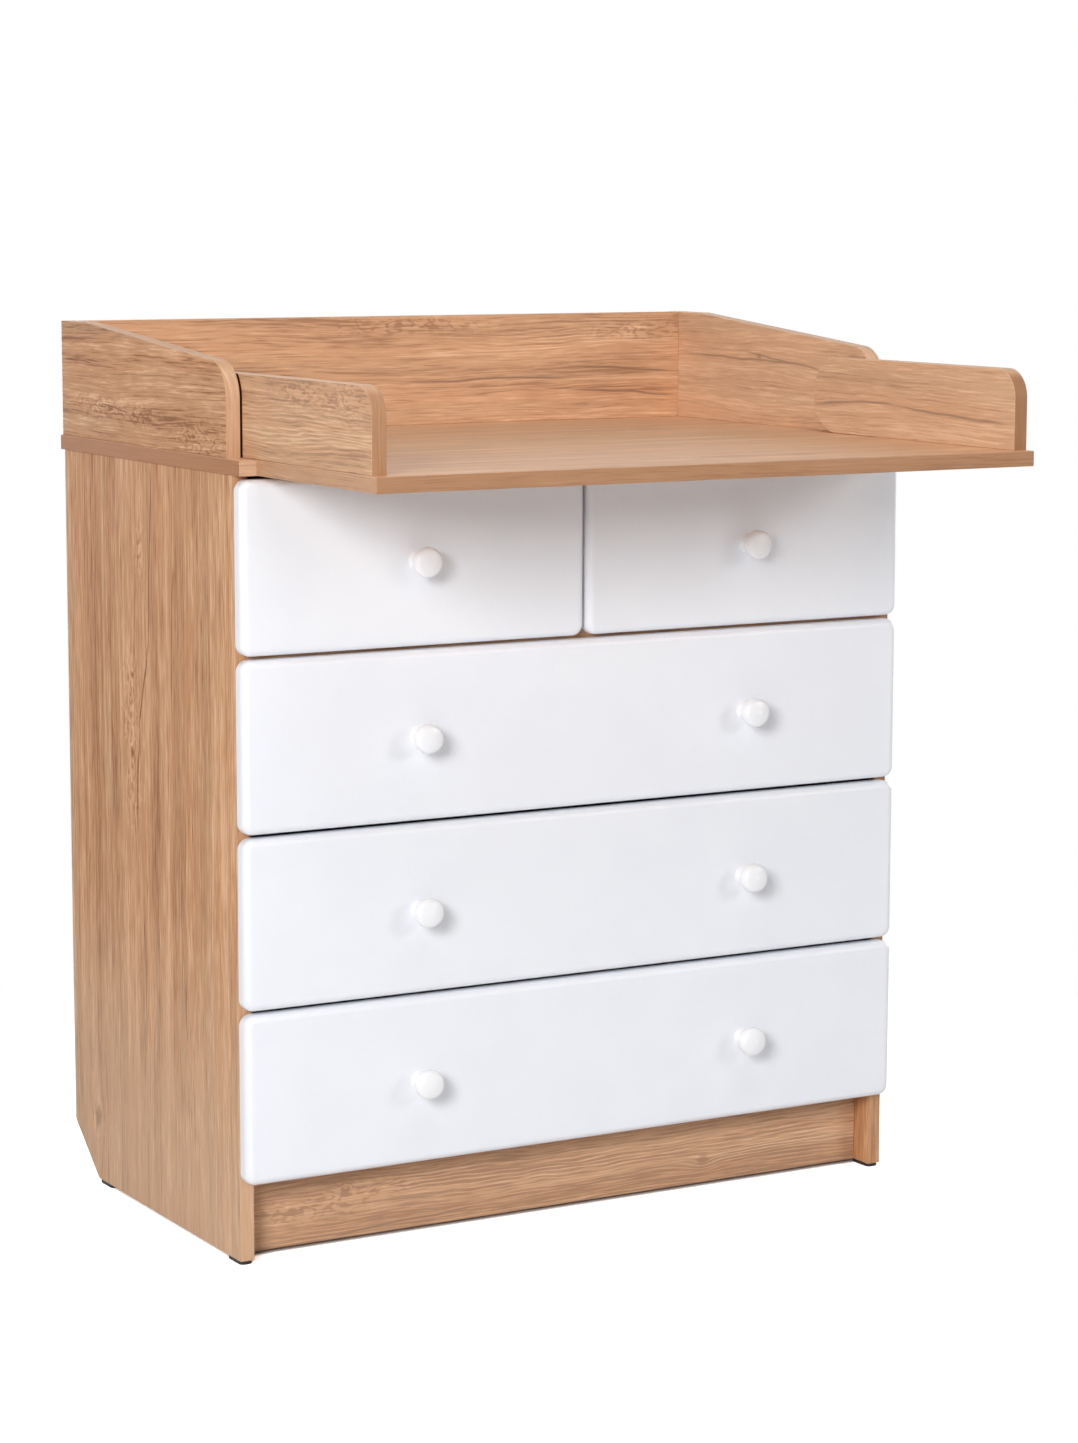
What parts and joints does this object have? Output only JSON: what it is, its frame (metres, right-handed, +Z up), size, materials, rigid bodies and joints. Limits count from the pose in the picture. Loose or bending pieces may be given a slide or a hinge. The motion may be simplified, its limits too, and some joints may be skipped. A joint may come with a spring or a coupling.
{
  "type": "changing dresser",
  "caption": "Nursery chest of drawers with a railed deck on top and a railed changing board that folds out level in front of it.",
  "frame": {"origin": "on the floor, under the middle of the dresser's width and of its whole depth with the changing board folded out", "axes": "+Z up, +Y towards the back, +X to the right of someone who faces the drawers"},
  "size_m": [0.804, 0.7254, 0.956],
  "materials": {
    "oak_laminate": "printed oak laminate, satin, matching edge band",
    "white_front": "white satin foil",
    "drawer_board": "white melamine",
    "thin_board": "thin fibreboard, painted on one face",
    "beech": "plain, fluted beech",
    "knob_plastic": "glossy white",
    "runner_steel": "white powder coat",
    "zinc": "bright zinc plate",
    "glide_plastic": "matt black",
    "bush_plastic": "natural white"
  },
  "bodies": {
    "carcass": {"side_panel_left": "oak_laminate", "side_panel_right": "oak_laminate", "top_deck": "oak_laminate", "bottom_panel": "oak_laminate", "divider_shelf": "oak_laminate", "centre_divider": "oak_laminate", "plinth": "oak_laminate", "rear_plinth": "oak_laminate", "back_sheet": "thin_board", "rear_rail_left": "oak_laminate", "rear_rail_right": "oak_laminate", "back_rail": "oak_laminate", "carcass_runners": "runner_steel", "glides": "glide_plastic", "cam_locks": "zinc", "cam_bolts": "zinc", "dowels": "beech", "rail_screws": "zinc", "pivot_pins": "zinc"},
    "changing_board": {"fold_board": "oak_laminate", "fold_rail_left": "oak_laminate", "fold_rail_right": "oak_laminate", "fold_screws": "zinc", "pivot_bushes": "bush_plastic"},
    "lower_drawer": {"lower_drawer_front": "white_front", "lower_drawer_knobs": "knob_plastic", "lower_drawer_sides": "drawer_board", "lower_drawer_back": "drawer_board", "lower_drawer_bottom": "thin_board", "lower_drawer_slides": "runner_steel"},
    "lower_drawer_cages": {"lower_drawer_ball_cages": "zinc"},
    "middle_drawer": {"middle_drawer_front": "white_front", "middle_drawer_knobs": "knob_plastic", "middle_drawer_sides": "drawer_board", "middle_drawer_back": "drawer_board", "middle_drawer_bottom": "thin_board", "middle_drawer_slides": "runner_steel"},
    "middle_drawer_cages": {"middle_drawer_ball_cages": "zinc"},
    "upper_drawer": {"upper_drawer_front": "white_front", "upper_drawer_knobs": "knob_plastic", "upper_drawer_sides": "drawer_board", "upper_drawer_back": "drawer_board", "upper_drawer_bottom": "thin_board", "upper_drawer_slides": "runner_steel"},
    "upper_drawer_cages": {"upper_drawer_ball_cages": "zinc"},
    "top_left_drawer": {"top_left_drawer_front": "white_front", "top_left_drawer_knobs": "knob_plastic", "top_left_drawer_sides": "drawer_board", "top_left_drawer_back": "drawer_board", "top_left_drawer_bottom": "thin_board", "top_left_drawer_slides": "runner_steel"},
    "top_left_drawer_cages": {"top_left_drawer_ball_cages": "zinc"},
    "top_right_drawer": {"top_right_drawer_front": "white_front", "top_right_drawer_knobs": "knob_plastic", "top_right_drawer_sides": "drawer_board", "top_right_drawer_back": "drawer_board", "top_right_drawer_bottom": "thin_board", "top_right_drawer_slides": "runner_steel"},
    "top_right_drawer_cages": {"top_right_drawer_ball_cages": "zinc"}
  },
  "joints": [
    {"name": "changing_board_hinge", "type": "hinge", "parent": "carcass", "child": "changing_board", "pos_m": [0, -0.02135, 0.8733], "axis": [-1, 0, 0], "range_deg": [0, 180]},
    {"name": "lower_drawer_slide", "type": "slide", "parent": "carcass", "child": "lower_drawer", "axis": [0, -1, 0], "range_m": [0, 0.3]},
    {"name": "lower_drawer_cage_slide", "type": "slide", "parent": "carcass", "child": "lower_drawer_cages", "axis": [0, -1, 0], "range_m": [0, 0.15]},
    {"name": "middle_drawer_slide", "type": "slide", "parent": "carcass", "child": "middle_drawer", "axis": [0, -1, 0], "range_m": [0, 0.3]},
    {"name": "middle_drawer_cage_slide", "type": "slide", "parent": "carcass", "child": "middle_drawer_cages", "axis": [0, -1, 0], "range_m": [0, 0.15]},
    {"name": "upper_drawer_slide", "type": "slide", "parent": "carcass", "child": "upper_drawer", "axis": [0, -1, 0], "range_m": [0, 0.3]},
    {"name": "upper_drawer_cage_slide", "type": "slide", "parent": "carcass", "child": "upper_drawer_cages", "axis": [0, -1, 0], "range_m": [0, 0.15]},
    {"name": "top_left_drawer_slide", "type": "slide", "parent": "carcass", "child": "top_left_drawer", "axis": [0, -1, 0], "range_m": [0, 0.3]},
    {"name": "top_left_drawer_cage_slide", "type": "slide", "parent": "carcass", "child": "top_left_drawer_cages", "axis": [0, -1, 0], "range_m": [0, 0.15]},
    {"name": "top_right_drawer_slide", "type": "slide", "parent": "carcass", "child": "top_right_drawer", "axis": [0, -1, 0], "range_m": [0, 0.3]},
    {"name": "top_right_drawer_cage_slide", "type": "slide", "parent": "carcass", "child": "top_right_drawer_cages", "axis": [0, -1, 0], "range_m": [0, 0.15]}
  ],
  "couplings": [
    {"joint": "lower_drawer_cage_slide", "follows": "lower_drawer_slide", "ratio": 0.5},
    {"joint": "middle_drawer_cage_slide", "follows": "middle_drawer_slide", "ratio": 0.5},
    {"joint": "upper_drawer_cage_slide", "follows": "upper_drawer_slide", "ratio": 0.5},
    {"joint": "top_left_drawer_cage_slide", "follows": "top_left_drawer_slide", "ratio": 0.5},
    {"joint": "top_right_drawer_cage_slide", "follows": "top_right_drawer_slide", "ratio": 0.5}
  ]
}
